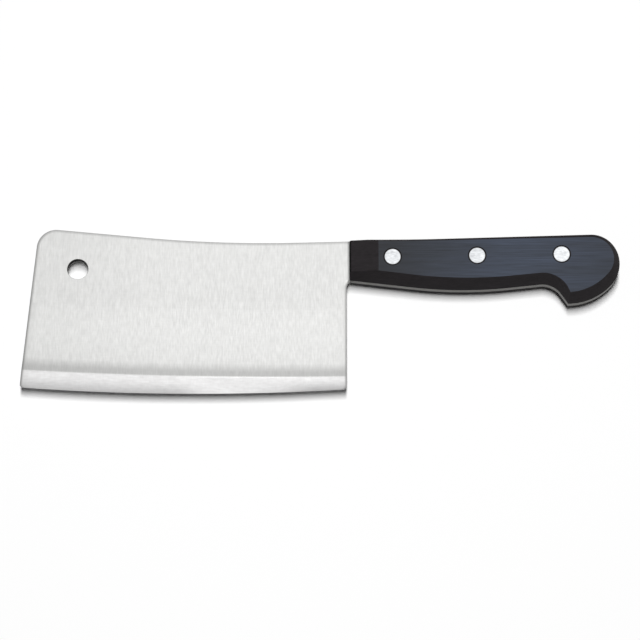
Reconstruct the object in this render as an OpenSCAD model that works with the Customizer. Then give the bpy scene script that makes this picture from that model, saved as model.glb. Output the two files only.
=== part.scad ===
// Meat cleaver: a steel blade with a full tang, and two handle scales held by three rivets.
// The cleaver lies level on its right scale. X runs from the front of the blade to the butt of
// the handle, Y from the cutting edge to the spine, and Z out of the left side of the blade.
// Places in plan are measured from the point where the spine meets the front of the scales.
// Lengths are in millimetres and angles in degrees.

/* [Blade] */
// Length from the toe of the edge to the front of the scales
blade_length = 151.5; // [120:0.1:220]
// Depth from the spine at the scales to the lowest point of the edge
blade_depth = 72.6; // [55:0.1:110]
// Thickness of the steel in the blade and the tang
steel_thickness = 3.5; // [2.6:0.1:6]
// Rise of the front stretch of the spine, and lean of the front end
spine_rise = 5.4; // [2:0.1:9]
// Rise of the rear stretch of the spine towards the scales
spine_dip = 1.4; // [0.4:0.1:3]
// Distance from the scales to the bend in the spine
spine_bend_at = 60; // [45:1:80]
// Radius of the bend in the spine
spine_bend_r = 590; // [200:10:700]
// Radius of the top front corner
front_corner_r = 9; // [2:0.5:20]
// Radius of the toe, where the front end meets the edge
toe_r = 1.2; // [0.3:0.1:4]
// Step from the front of the scales forward to the heel
heel_step = 1.4; // [0.5:0.1:6]
// Drop from the front corner of the scales to where the heel line begins
heel_drop = 1.6; // [0.5:0.1:12]
// Radius of the inner corner above the heel
heel_fillet_r = 4; // [1:0.1:6]
// Radius of the heel corner, where the heel line meets the edge
heel_r = 0.8; // [0.3:0.1:3]

/* [Edge] */
// Radius of the curve of the cutting edge
edge_r = 1100; // [500:10:2000]
// Distance from the scales to the lowest point of the edge
edge_low_at = 70; // [40:1:100]
// Height of the bevel at the lowest point of the edge
bevel_height = 7.7; // [5:0.1:12]
// Radius of the ridge along the top of the bevel
ridge_r = 2000; // [900:10:4000]
// Tilt of the ridge, higher at the toe than at the heel
ridge_tilt = 1.05; // [0:0.05:2]
// Slope of the bevel to the middle plane of the blade
bevel_angle = 5; // [3:0.1:7]
// Slope of the honed edge to the middle plane of the blade
hone_angle = 21; // [15:0.5:30]
// Thickness that the honing leaves at the very edge
edge_land = 0.14; // [0.05:0.01:0.4]
// Width of the shallow hollow ground above the ridge
hollow_width = 6.5; // [3:0.1:10]
// Depth of that hollow
hollow_depth = 0.12; // [0.05:0.01:0.3]

/* [Hanging hole] */
// Diameter of the hole
hole_d = 9.7; // [4:0.1:16]
// Distance from the front end to the middle of the hole
hole_from_front = 20.2; // [12:0.1:40]
// Distance from the front stretch of the spine to the middle of the hole
hole_from_spine = 18.1; // [12:0.1:40]

/* [Handle] */
// Length from the front of the scales to the end of the butt
handle_length = 124.8; // [105:0.1:150]
// Thickness of each scale
scale_thickness = 7.5; // [6:0.1:12]
// Step from the spine down to the top of the scales
top_step = 1.2; // [0.2:0.1:2]
// Distance from the front of the scales to the bend in their top
top_bend_at = 30; // [26:1:60]
// Rise of the top from its bend to the butt
top_rise = 1.7; // [0.5:0.1:4]
// Radius of the bend in the top
top_bend_r = 800; // [300:50:1300]
// Radius of the rounded butt
butt_r = 13.1; // [10:0.1:14.5]
// Radius of the long curve from the butt to the hook
butt_sweep_r = 28; // [25:1:90]
// Distance of the hook's tip from the end of the butt
hook_from_end = 23.9; // [20:0.1:28]
// Distance of the hook's tip below the spine
hook_depth = 30.2; // [27:0.1:36]
// Steepness of the front of the hook
hook_lean = 56; // [40:1:75]
// Radius of the neck where the lower line turns into the hook
neck_r = 10.4; // [4:0.1:13]
// Distance from the front of the scales to the middle of the belly
belly_at = 51.5; // [40:0.1:62]
// Distance below the spine at which the two lower lines would meet, if the belly were not rounded
belly_depth = 24.9; // [21:0.1:28]
// Radius of the belly
belly_r = 205; // [50:1:240]
// Slope of the lower line in front of the belly
belly_front_slope = 6.6; // [3:0.1:9]
// Slope of the lower line behind the belly
belly_rear_slope = 6.2; // [3:0.1:8]

/* [Scale shaping] */
// Length of the ramp at the front of each scale
ramp_length = 13.3; // [4:0.1:14]
// How much the ramp thins the scale at its front
ramp_drop = 2.2; // [1:0.1:4]
// Width of the bevel along the lower side, at the front of the scales
bevel_low = 4.2; // [2:0.1:4.5]
// Width of the bevel along the lower side, at the hook
bevel_hook = 3.3; // [2:0.1:4.5]
// Width of the bevel up the front of the hook, at its tip
bevel_flank = 2.3; // [2:0.1:4.5]
// Width to which the bevel of the lower side grows at the end of the butt
bevel_butt = 4.4; // [2:0.1:4.5]
// Width of the bevel along the top, at the front of the scales
bevel_top = 0.5; // [0.3:0.1:2.4]
// Width to which the bevel of the top grows at the end of the butt
bevel_top_butt = 1.4; // [0.3:0.1:2.4]
// Height of the wall left under the bevel of the lower side
bevel_wall = 0.4; // [0.3:0.1:4]
// Fall of the bevel along the top
bevel_top_fall = 0.8; // [0.2:0.1:2.4]
// Angle between the wall and the bevel where it begins, before its fall is set
bevel_start = 38; // [0:1:39]
// Angle between the wall and the bevel where it meets the flat side, before its fall is set
bevel_turn = 46; // [40:1:75]
// Width of the broken edge at the front of each ramp
ramp_break = 0.6; // [0.1:0.1:1.5]

/* [Rivets] */
// Distance from the end of the ramp to the front rivet
rivet_from_ramp = 6.5; // [5:0.1:12]
// Distance from the end of the butt to the rear rivet
rivet_from_end = 27; // [22:0.1:36]
// Distance of the front rivet below the spine
rivet_front_depth = 9.6; // [7.5:0.1:12]
// Distance of the rear rivet below the spine
rivet_rear_depth = 8.4; // [6:0.1:14]
// Diameter of a rivet's head
rivet_head_d = 7.4; // [7:0.1:9]
// Thickness of a rivet's head
rivet_head_t = 2; // [1:0.1:3]
// Outer diameter of a rivet's barrel
barrel_d = 5; // [4.6:0.1:6]
// Diameter of a rivet's post
post_d = 3.2; // [2:0.1:3.6]

/* [Clearances] */
// Gap all round a rivet's head in its seat
head_clearance = 0.1; // [0.02:0.01:0.25]
// Gap all round a rivet's barrel in its holes
barrel_clearance = 0.1; // [0.02:0.01:0.25]
// Gap all round the post in the barrel
post_clearance = 0.02; // [0:0.01:0.1]
// Gap at the end of the post and of the barrel
end_clearance = 0.4; // [0.1:0.05:1]

/* [Hidden] */
$fn = 96;

steel_colour = [0.78, 0.79, 0.80];
scale_colour = [0.13, 0.13, 0.14];
rivet_colour = [0.88, 0.88, 0.87];

// How far a chord may lie inside the arc that it stands for
chord_error = 0.01;
// Facets in a full turn of the long curves that the edge is ground along
grind_facets = 1440;
// Share of the shorter side next to a corner that its rounding may take up
fillet_room = 0.6;
// Chords in the cutting edge
edge_chords = 30;
// Most that the bevel of a scale turns from one of its strips to the next
bevel_strip_turn = 12;
// How far cutters and blanks reach past what they trim
spare = 8;
// How far the hollow runs on past the ridge, so that the two meet in a clean line
ridge_lap = 0.4;

steel_half = steel_thickness / 2;
handle_half = steel_half + scale_thickness;
bevel_steps = ceil((bevel_turn - bevel_start) / bevel_strip_turn);
// Width of the bevel up the front of the hook for each millimetre of the bevel under it
flank_share = bevel_flank / bevel_hook;

// Plane geometry

function unit(v) = v / norm(v);
function towards(angle) = [cos(angle), sin(angle)];
function turned(v, angle) = [
    v[0] * cos(angle) - v[1] * sin(angle),
    v[0] * sin(angle) + v[1] * cos(angle)
];
function heading(v) = atan2(v[1], v[0]);
function signed_angle(u, v) = atan2(cross(u, v), u * v);

// Points from one end of an arc to the other, the short way round its centre
function arc(centre, from, to) =
    let (
        spoke = from - centre,
        sweep = signed_angle(spoke, to - centre),
        chords = ceil(abs(sweep) / (2 * acos(1 - chord_error / norm(spoke))))
    )
    [for (i = [0 : chords]) centre + turned(spoke, sweep * i / chords)];

// Points of the arc that rounds the corner b of the path a, b, c
function fillet(a, b, c, r) =
    let (
        u = unit(a - b),
        v = unit(c - b),
        half = acos(u * v) / 2,
        reach = min(r / tan(half), fillet_room * min(norm(a - b), norm(c - b)))
    )
    arc(b + unit(u + v) * reach / cos(half), b + u * reach, b + v * reach);

// A path without the points that repeat the one before them
function distinct(path) = [for (i = [0 : len(path) - 1])
    if (i == 0 || norm(path[i] - path[i - 1]) > chord_error) path[i]];

// Point where the line from p along u meets the line from q along v
function meet(p, u, q, v) = p + u * cross(q - p, v) / cross(u, v);

// Outline of the handle, clockwise from the top of its front edge

butt_x = handle_length - butt_r;
top_at_butt = (butt_x - top_bend_at) * tan(top_rise) - top_step;
butt_centre = [butt_x, top_at_butt - butt_r / cos(top_rise)];
butt_top = butt_centre + butt_r * towards(90 + top_rise);
hook_tip = [handle_length - hook_from_end, -hook_depth];

// The sweep passes through the hook's tip and runs smoothly into the butt
tip_to_butt = butt_centre - hook_tip;
sweep_inset = butt_sweep_r - butt_r;
sweep_swing = acos((pow(butt_sweep_r, 2) + pow(norm(tip_to_butt), 2) - pow(sweep_inset, 2))
    / (2 * butt_sweep_r * norm(tip_to_butt)));
sweep_centre = hook_tip + butt_sweep_r * towards(heading(tip_to_butt) + sweep_swing);
butt_end = butt_centre + butt_r * unit(butt_centre - sweep_centre);

// Points close to the tip are left out, so that the bevel has room to turn round it
sweep = [for (p = arc(sweep_centre, butt_end, hook_tip)) if (norm(p - hook_tip) > bevel_low) p];

belly = [belly_at, -belly_depth];
neck = meet(belly, towards(belly_rear_slope), hook_tip, towards(180 - hook_lean));
top_bend = [top_bend_at, -top_step];
top_front = [0, -top_step];
low_front = meet(belly, towards(180 - belly_front_slope), top_front, [0, 1]);

handle_outline = distinct(concat(
    [top_front],
    fillet(top_front, top_bend, butt_top, top_bend_r),
    arc(butt_centre, butt_top, butt_end),
    sweep,
    [hook_tip],
    fillet(hook_tip, neck, belly, neck_r),
    fillet(neck, belly, low_front, belly_r),
    [low_front]
));

// Outline of the blade, clockwise from the heel round to the spine

function edge_y(x) = edge_r - blade_depth - sqrt(pow(edge_r, 2) - pow(x + edge_low_at, 2));

heel_top = low_front - [heel_step, heel_drop];
heel = [-heel_step, edge_y(-heel_step)];
toe = [-blade_length, edge_y(-blade_length)];
edge_line = [for (i = [1 : edge_chords - 1])
    let (x = heel[0] + (toe[0] - heel[0]) * i / edge_chords) [x, edge_y(x)]];
spine_bend = [-spine_bend_at, -spine_bend_at * tan(spine_dip)];
front_up = towards(90 - spine_rise);
spine_back = towards(-spine_rise);
spine_front = toe + front_up * ((spine_bend - toe) * front_up);
blade_outline = concat(
    fillet(low_front, heel_top, heel, heel_fillet_r),
    fillet(heel_top, heel, edge_line[0], heel_r),
    edge_line,
    fillet(edge_line[edge_chords - 2], toe, spine_front, toe_r),
    fillet(toe, spine_front, spine_bend, front_corner_r),
    fillet(spine_front, spine_bend, [0, 0], spine_bend_r),
    [[0, 0]]
);
hole_at = spine_front + spine_back * hole_from_front - front_up * hole_from_spine;

// The origin lies under the middle of the whole cleaver

toe_turn = (180 - acos(unit(edge_line[edge_chords - 2] - toe) * front_up)) / 2;
toe_centre = toe + toe_r * [cos(spine_rise), -sin(spine_rise)] + toe_r * tan(toe_turn) * front_up;
corner_centre = spine_front + front_corner_r * (spine_back - front_up);
left_end = toe_centre[0] - toe_r;
top_end = max(corner_centre[1] + front_corner_r, butt_centre[1] + butt_r);
middle = [(left_end + handle_length) / 2, (top_end - blade_depth) / 2];

module laid() {
    translate([-middle[0], -middle[1], handle_half]) children();
}

// Steel

edge_centre = [-edge_low_at, edge_r - blade_depth];
ridge_low = [-edge_low_at, bevel_height - blade_depth];
ridge_centre = ridge_low + ridge_r * towards(90 - ridge_tilt);
hollow_r = (pow(hollow_width / 2, 2) + pow(hollow_depth, 2)) / (2 * hollow_depth);
hollow_mid = ridge_r + ridge_lap - hollow_width / 2;
grind_reach = bevel_height + spare;
hone_reach = (steel_half + spare) / tan(hone_angle);

// Turns a profile of radius and height about a far centre, past both ends of the edge
module along_edge(centre, r) {
    half_sweep = asin((blade_length + spare) / r);
    translate(centre) rotate([0, 0, -90 - half_sweep])
        rotate_extrude(angle = 2 * half_sweep, $fn = grind_facets) children();
}

// What grinding takes off the left side: the hollow, the bevel and the honed edge
module ground_off() {
    along_edge(ridge_centre, ridge_r) {
        polygon([
            [ridge_r, steel_half],
            [ridge_r + grind_reach, steel_half - grind_reach * tan(bevel_angle)],
            [ridge_r + grind_reach, handle_half],
            [ridge_r, handle_half]
        ]);
        translate([hollow_mid, steel_half - hollow_depth + hollow_r]) circle(r = hollow_r);
    }
    along_edge(edge_centre, edge_r)
        polygon([
            [edge_r + ridge_lap, edge_land / 2 - ridge_lap * tan(hone_angle)],
            [edge_r + ridge_lap, edge_land / 2 + hone_reach * tan(hone_angle)],
            [edge_r - hone_reach, edge_land / 2 + hone_reach * tan(hone_angle)]
        ]);
}

module blade() {
    color(steel_colour) laid() difference() {
        linear_extrude(steel_thickness, center = true)
            polygon(concat(handle_outline, blade_outline));
        for (side = [0, 1]) mirror([0, 0, side]) ground_off();
        translate(hole_at) cylinder(d = hole_d, h = 2 * handle_half, center = true);
        for (at = rivets_at) translate(at) barrel_hole();
    }
}

// Handle scales

scale_points = len(handle_outline);

function outline_point(i) = handle_outline[(i + scale_points) % scale_points];
function side_normal(i) = turned(unit(outline_point(i + 1) - outline_point(i)), 90);
// Way out of the corner i that keeps both sides next to it parallel. The two corners at the front, which are
// the first and the last, slide along the front edge instead, so that it has no bevel. At the hook's tip
// the side up its front moves by its own share.
function mitre(i) =
    let (before = side_normal(i - 1), after = side_normal(i), turn = before * after)
    i == 0 ? [0, 1 / after[1]]
    : i == scale_points - 1 ? [0, 1 / before[1]]
    : outline_point(i) == hook_tip
        ? (before * (1 - turn * flank_share) + after * (flank_share - turn)) / (1 - turn * turn)
    : (before + after) / (1 + turn);
// Width and fall of the bevel, which blends from the lower side to the top as the outline turns
function bevel_size(i) =
    let (
        x = outline_point(i)[0],
        low = lookup(x, [[0, bevel_low], [hook_tip[0], bevel_hook], [handle_length, bevel_butt]]),
        top = lookup(x, [[0, bevel_top], [handle_length, bevel_top_butt]]),
        low_share = (1 - unit(mitre(i))[1]) / 2
    )
    [low, scale_thickness - bevel_wall] * low_share + [top, bevel_top_fall] * (1 - low_share);

// One ring round the scale, from the top of its wall at share 0 to its flat side at share 1
function bevel_ring(share) =
    let (
        turn = bevel_start + (bevel_turn - bevel_start) * share,
        inset = (cos(bevel_start) - cos(turn)) / (cos(bevel_start) - cos(bevel_turn)),
        rise = (sin(turn) - sin(bevel_start)) / (sin(bevel_turn) - sin(bevel_start))
    )
    [for (i = [0 : scale_points - 1])
        let (
            size = bevel_size(i),
            p = outline_point(i) - mitre(i) * size[0] * inset
        )
        [p[0], p[1], scale_thickness - size[1] * (1 - rise)]];

module rounded_blank() {
    tang_ring = [for (p = handle_outline) [p[0], p[1], 0]];
    rings = concat([tang_ring], [for (k = [0 : bevel_steps]) bevel_ring(k / bevel_steps)]);
    hub = rivets_at[2];
    hub_low = len(rings) * scale_points;
    hub_high = hub_low + 1;
    points = concat(
        [for (ring = rings) each ring],
        [[hub[0], hub[1], 0], [hub[0], hub[1], scale_thickness]]
    );
    last = (len(rings) - 1) * scale_points;
    walls = [for (k = [0 : len(rings) - 2], i = [0 : scale_points - 1])
        let (
            a = k * scale_points + i,
            b = k * scale_points + (i + 1) % scale_points
        )
        each [[a, b + scale_points, b], [a, a + scale_points, b + scale_points]]];
    caps = [for (i = [0 : scale_points - 1])
        let (next = (i + 1) % scale_points)
        each [[hub_low, i, next], [hub_high, last + next, last + i]]];
    polyhedron(points, concat(walls, caps));
}

// Takes off all above the ramp, and breaks its front edge
module ramp_cut() {
    slope = ramp_drop / ramp_length;
    past = ramp_length + spare;
    break_end = ramp_break / (1 - slope);
    rotate([90, 0, 0])
        linear_extrude(2 * (hook_depth + spare), center = true)
            polygon([
                [-spare, scale_thickness - ramp_drop - ramp_break - spare],
                [break_end, scale_thickness - ramp_drop + slope * break_end],
                [past, scale_thickness - ramp_drop + slope * past],
                [-spare, scale_thickness - ramp_drop + slope * past]
            ]);
}

// The left scale, on the left face of the tang
module scale_body() {
    translate([0, 0, steel_half]) difference() {
        rounded_blank();
        ramp_cut();
    }
}

module drilled_scale() {
    difference() {
        scale_body();
        for (at = rivets_at) translate(at) {
            barrel_hole();
            translate([0, 0, handle_half - rivet_head_t])
                cylinder(d = rivet_head_d + 2 * head_clearance, h = rivet_head_t + spare);
        }
    }
}

module left_scale() {
    color(scale_colour) laid() drilled_scale();
}

module right_scale() {
    color(scale_colour) laid() mirror([0, 0, 1]) drilled_scale();
}

// Rivets: a post pressed into a barrel, each with its head let into a scale

rivet_front = [ramp_length + rivet_from_ramp, -rivet_front_depth];
rivet_rear = [handle_length - rivet_from_end, -rivet_rear_depth];
rivets_at = [rivet_front, (rivet_front + rivet_rear) / 2, rivet_rear];
head_seat = handle_half - rivet_head_t;
barrel_top = head_seat - end_clearance;

module barrel_hole() {
    cylinder(d = barrel_d + 2 * barrel_clearance, h = 2 * (handle_half + spare), center = true);
}

module rivet_post(at) {
    color(rivet_colour) laid() translate(at) {
        translate([0, 0, head_seat]) cylinder(d = rivet_head_d, h = rivet_head_t);
        translate([0, 0, end_clearance - head_seat])
            cylinder(d = post_d, h = 2 * head_seat - end_clearance);
    }
}

module rivet_barrel(at) {
    color(rivet_colour) laid() translate(at) difference() {
        union() {
            translate([0, 0, -handle_half]) cylinder(d = rivet_head_d, h = rivet_head_t);
            translate([0, 0, -head_seat]) cylinder(d = barrel_d, h = barrel_top + head_seat);
        }
        translate([0, 0, -head_seat])
            cylinder(d = post_d + 2 * post_clearance, h = 2 * handle_half);
    }
}

module front_rivet_post() {
    rivet_post(rivets_at[0]);
}

module front_rivet_barrel() {
    rivet_barrel(rivets_at[0]);
}

module middle_rivet_post() {
    rivet_post(rivets_at[1]);
}

module middle_rivet_barrel() {
    rivet_barrel(rivets_at[1]);
}

module rear_rivet_post() {
    rivet_post(rivets_at[2]);
}

module rear_rivet_barrel() {
    rivet_barrel(rivets_at[2]);
}

blade();
left_scale();
right_scale();
front_rivet_post();
front_rivet_barrel();
middle_rivet_post();
middle_rivet_barrel();
rear_rivet_post();
rear_rivet_barrel();
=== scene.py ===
"""Looks of a meat cleaver: a satin steel blade with a full tang, two black scales and three rivets.

The sizes in the classes are in millimetres and degrees, measured in plan from the point where the
spine meets the front of the scales. Each finished piece is laid in the CAD frame, in metres.
"""

import logging
import math
from collections.abc import Iterable, Sequence
from dataclasses import dataclass, field
from enum import Enum

import bmesh
import bpy
from bmesh.types import BMEdge, BMesh, BMVert
from bpy.types import ID, Material, Node, NodeSocket, NodeTree, Object
from mathutils import Matrix, Vector


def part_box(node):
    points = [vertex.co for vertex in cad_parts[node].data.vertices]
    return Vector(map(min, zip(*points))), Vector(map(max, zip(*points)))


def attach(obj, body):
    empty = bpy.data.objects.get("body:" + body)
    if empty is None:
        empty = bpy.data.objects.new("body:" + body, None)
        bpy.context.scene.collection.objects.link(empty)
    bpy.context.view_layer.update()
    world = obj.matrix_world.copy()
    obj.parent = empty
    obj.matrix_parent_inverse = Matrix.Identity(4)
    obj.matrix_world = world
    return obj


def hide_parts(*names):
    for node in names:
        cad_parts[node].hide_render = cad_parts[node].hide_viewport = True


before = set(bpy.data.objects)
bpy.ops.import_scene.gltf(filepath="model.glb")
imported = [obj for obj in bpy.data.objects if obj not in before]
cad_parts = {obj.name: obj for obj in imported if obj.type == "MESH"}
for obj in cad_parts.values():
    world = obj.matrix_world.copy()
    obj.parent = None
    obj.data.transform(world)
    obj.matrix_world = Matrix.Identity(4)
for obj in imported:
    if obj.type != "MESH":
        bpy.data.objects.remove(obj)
log = logging.getLogger("cleaver")

MM = 0.001
UP = Vector((0, 0, 1))
# Two places nearer than this are one, in millimetres
NEAR = 1e-3
# Points that are meant to coincide lie nearer than this, in millimetres
SAME = 1e-4
# Number of sides of a circle
ROUND = 96
# A corner is sharp where the cosine of its turn is under this
SHARP = 0.9
# A face lies level where its normal's share along Z is over this
LEVEL = 0.9999


def towards(angle: float) -> Vector:
    """Unit vector in plan at an angle in degrees from the X axis."""
    return Vector((math.cos(math.radians(angle)), math.sin(math.radians(angle))))


def tangent(angle: float) -> float:
    """Tangent of an angle in degrees."""
    return math.tan(math.radians(angle))


def between(start: float, end: float, share: float) -> float:
    """Value at a share of the way from start to end."""
    return start + (end - start) * share


def cross(u: Vector, v: Vector) -> float:
    """How far v lies to the left of u, times both lengths."""
    return u.x * v.y - u.y * v.x


def meet(p: Vector, u: Vector, q: Vector, v: Vector) -> Vector:
    """Point where the line from p along u meets the line from q along v."""
    return p + u * (cross(q - p, v) / cross(u, v))


class Pen:
    """Marks out a flat outline in a bmesh as a chain of edges, with lines and true arcs."""

    CHORD_ERROR = 0.004

    def __init__(self, mesh: BMesh, start: Vector) -> None:
        """Puts the pen down in a bmesh, at a place in plan."""
        self.mesh = mesh
        self.path: list[BMVert] = [mesh.verts.new(start.to_3d())]

    @property
    def at(self) -> Vector:
        """Place in plan of the pen."""
        return self.path[-1].co.xy

    def line(self, to: Vector) -> None:
        """Draws a straight line, unless the pen is there already.

        Args:
            to: Where the line ends.
        """
        if (to - self.at).length < self.CHORD_ERROR:
            return
        grown = bmesh.ops.extrude_vert_indiv(self.mesh, verts=[self.path[-1]])
        grown["verts"][0].co = to.to_3d()
        self.path.append(grown["verts"][0])

    def arc(self, centre: Vector, to: Vector) -> None:
        """Draws an arc the short way round.

        Args:
            centre: Middle of the arc.
            to: Where the arc ends.
        """
        spoke = self.at - centre
        sweep = math.atan2(cross(spoke, to - centre), spoke.dot(to - centre))
        steps = math.ceil(abs(sweep) / (2 * math.acos(1 - self.CHORD_ERROR / spoke.length)))
        first = len(self.mesh.verts)
        bmesh.ops.spin(self.mesh, geom=[self.path[-1]], cent=centre.to_3d(), axis=UP,
                       angle=sweep, steps=steps)
        self.mesh.verts.ensure_lookup_table()
        self.path.extend(self.mesh.verts[first:])

    def corner(self, at: Vector, then: Vector, radius: float) -> None:
        """Draws up to a corner and round it.

        Args:
            at: The corner, as if it were sharp.
            then: The next place after the corner.
            radius: Radius of the rounding.
        """
        back = (self.at - at).normalized()
        on = (then - at).normalized()
        half = back.angle(on) / 2
        reach = radius / math.tan(half)
        self.line(at + back * reach)
        self.arc(at + (back + on).normalized() * (reach / math.cos(half)), at + on * reach)

    def edges(self) -> list[BMEdge]:
        """Edges drawn so far, in order."""
        return [self.mesh.edges.get(pair) for pair in zip(self.path, self.path[1:])]


@dataclass
class RollOver:
    """A rounded strip from the top of a wall to the flat side of a piece."""

    start: float
    turn: float
    steps: int

    def shares(self) -> list[tuple[float, float]]:
        """Rounding of the strip.

        Returns:
            Inset and rise of each ring, as shares of the strip's width and fall.
        """
        low, high = math.radians(self.start), math.radians(self.turn)
        turns = [low + (high - low) * k / self.steps for k in range(self.steps + 1)]
        wide = math.cos(low) - math.cos(high)
        tall = math.sin(high) - math.sin(low)
        return [((math.cos(low) - math.cos(a)) / wide, (math.sin(a) - math.sin(low)) / tall) for a in turns]

    def roll(self, mesh: BMesh, path: Sequence[BMVert], loop: list[BMEdge],
             mitres: Sequence[Vector], widths: Sequence[float], falls: Sequence[float],
             top: float) -> list[BMEdge]:
        """Grows the strip ring by ring from a chain of edges.

        Args:
            mesh: The bmesh that holds the chain.
            path: Points of the chain in order.
            loop: Edges of the chain.
            mitres: Way out of the outline at each point.
            widths: Width of the strip at each point.
            falls: Height that the strip comes down at each point.
            top: Height of the flat side.

        Returns:
            The edges of the last ring, on the flat side.
        """
        place = mesh.verts.layers.int["place"]
        plan = [point.co.xy for point in path]
        for number, point in enumerate(path):
            point[place] = number
        rings = self.shares()
        moved: Iterable[BMVert] = path
        for number, (inset, rise) in enumerate(rings):
            if number:
                moved, loop = pull(mesh, loop)
            for vert in moved:
                n = vert[place]
                spot = plan[n] - mitres[n] * (widths[n] * inset)
                vert.co = spot.to_3d() + UP * (top - falls[n] * (1 - rise))
        return loop


def bench() -> BMesh:
    """Clears a place to work.

    Returns:
        A new bmesh, whose points can carry their place along an outline.
    """
    mesh = bmesh.new()
    mesh.verts.layers.int.new("place")
    return mesh


def pull(mesh: BMesh, loop: Iterable[BMEdge]) -> tuple[list[BMVert], list[BMEdge]]:
    """Extrudes a chain of edges in place.

    Args:
        mesh: The bmesh that holds the chain.
        loop: Edges of the chain.

    Returns:
        The new points and the new edges between them.
    """
    grown = bmesh.ops.extrude_edge_only(mesh, edges=list(loop))["geom"]
    verts = [part for part in grown if isinstance(part, BMVert)]
    fresh = set(verts)
    edges = [part for part in grown if isinstance(part, BMEdge) and fresh.issuperset(part.verts)]
    return verts, edges


def mitres_along(path: Sequence[Vector], sharp: float = 1.0) -> list[Vector]:
    """Ways out of the corners of a clockwise outline that keep both sides next to each parallel.

    Args:
        path: Places in plan, in order.
        sharp: At a sharp corner, how far the side after it moves for each millimetre of the side before it.

    Returns:
        One vector for each place.
    """
    sides = [(after - before).normalized() for before, after in zip(path, path[1:])]
    outs = [Vector((-side.y, side.x)) for side in sides]
    pairs = zip([outs[0]] + outs, outs + [outs[-1]])
    mitres = []
    for before, after in pairs:
        turn = before.dot(after)
        if turn < SHARP:
            mitres.append((before * (1 - turn * sharp) + after * (sharp - turn)) / (1 - turn ** 2))
        else:
            mitres.append((before + after) / (1 + turn))
    return mitres


def rounding(radius: float, up: float) -> float:
    """How far a rounded corner stands back from its sharp end, at a height above that end."""
    return radius - math.sqrt(radius ** 2 - (radius - up) ** 2) if up < radius else 0.0


def ring_of_edges(mesh: BMesh, centre: Vector, radius: float, height: float) -> list[BMEdge]:
    """Marks a circle.

    Args:
        mesh: The bmesh to draw in.
        centre: Middle of the circle in plan.
        radius: Radius of the circle.
        height: Height of the circle.

    Returns:
        The edges of the circle.
    """
    place = Matrix.Translation(centre.to_3d() + UP * height)
    verts = bmesh.ops.create_circle(mesh, segments=ROUND, radius=radius, matrix=place)["verts"]
    return list({edge for vert in verts for edge in vert.link_edges})


def sink(mesh: BMesh, loop: list[BMEdge], centre: Vector, profile: Iterable[tuple[float, float]]) -> None:
    """Sinks a turned hole from a circle of edges.

    Args:
        mesh: The bmesh that holds the circle.
        loop: Edges of the circle.
        centre: Middle of the hole in plan.
        profile: Radius and height of each step down the hole.
    """
    for radius, height in profile:
        verts, loop = pull(mesh, loop)
        for vert in verts:
            spoke = (vert.co.xy - centre).normalized()
            vert.co = (centre + spoke * radius).to_3d() + UP * height


def slice_off(mesh: BMesh, at: Vector, out: Vector) -> None:
    """Cuts a closed solid with a plane and closes the cut.

    Args:
        mesh: The bmesh that holds the solid.
        at: A point of the plane.
        out: Direction of the side that goes.
    """
    everything = mesh.verts[:] + mesh.edges[:] + mesh.faces[:]
    cut = bmesh.ops.bisect_plane(mesh, geom=everything, dist=SAME / 10, plane_co=at, plane_no=out,
                                 clear_outer=True)["geom_cut"]
    bmesh.ops.contextual_create(mesh, geom=[part for part in cut if isinstance(part, BMEdge)])


class Slot(Enum):
    """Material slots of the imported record."""

    STEEL = "steel"
    HANDLE = "handle"
    RIVET = "rivet"


class Side(Enum):
    """Sides of the tang, by the first word of their CAD node."""

    LEFT = "left"
    RIGHT = "right"


class Axis(Enum):
    """Axes in plan, by their name on Blender's node."""

    X = "X"
    Y = "Y"


def linear(code: str) -> tuple[float, float, float, float]:
    """Linear colour of an sRGB hex value.

    Args:
        code: Six hex digits.

    Returns:
        Red, green, blue and full alpha.
    """
    parts = [int(code[i:i + 2], 16) / 255 for i in (0, 2, 4)]
    red, green, blue = (c / 12.92 if c <= 0.04045 else ((c + 0.055) / 1.055) ** 2.4 for c in parts)
    return red, green, blue, 1.0


def add_node(tree: NodeTree, kind: str, settings: dict[str, object] | None = None,
             **inputs: object) -> Node:
    """Adds a shader node.

    Args:
        tree: The material's or world's node tree.
        kind: Blender's name of the node without the ShaderNode in front.
        settings: Values of the node's own properties.
        inputs: A value or an output socket for each input, by its name with _ for a space, or by
            its number after an n.

    Returns:
        The node.
    """
    node = tree.nodes.new("ShaderNode" + kind)
    for name, value in (settings or {}).items():
        setattr(node, name, value)
    for name, value in inputs.items():
        socket = node.inputs[int(name[1:])] if name[1:].isdigit() else node.inputs[name.replace("_", " ")]
        if isinstance(value, NodeSocket):
            tree.links.new(value, socket)
        else:
            socket.default_value = value
    return node


class Finish:
    """A surface as it was made. Each kind says what its shader is."""

    name: str = "finish"

    def material(self) -> Material:
        """Makes the material when it is first asked for.

        Returns:
            Blender's material for this finish.
        """
        made = bpy.data.materials.get(self.name)
        if made is None:
            made = bpy.data.materials.new(self.name)
            made.use_nodes = True
            made.node_tree.nodes.clear()
            shader = self.shader(made.node_tree)
            add_node(made.node_tree, "OutputMaterial", Surface=shader.outputs[0])
        return made

    def shader(self, tree: NodeTree) -> Node:
        """Builds the shader in a tree and returns its last node."""
        raise NotImplementedError


def streaks(tree: NodeTree, width: float, length: float, along: Axis, seed: float) -> Node:
    """Noise drawn out into lines.

    Args:
        tree: The material's node tree.
        width: Spacing of the lines in millimetres.
        length: Length of a line in millimetres.
        along: The axis that the lines run along.
        seed: Shifts the pattern, so that two layers differ.

    Returns:
        The noise node.
    """
    spot = add_node(tree, "TexCoord")
    across, run = 1 / (width * MM), 1 / (length * MM)
    scale = (run, across, across) if along is Axis.X else (across, run, across)
    laid = add_node(tree, "Mapping", Vector=spot.outputs["Object"], Scale=scale, Location=(seed, seed, 0))
    return add_node(tree, "TexNoise", Vector=laid.outputs[0], Scale=1.0, Detail=3.0, Roughness=0.6)


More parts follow.
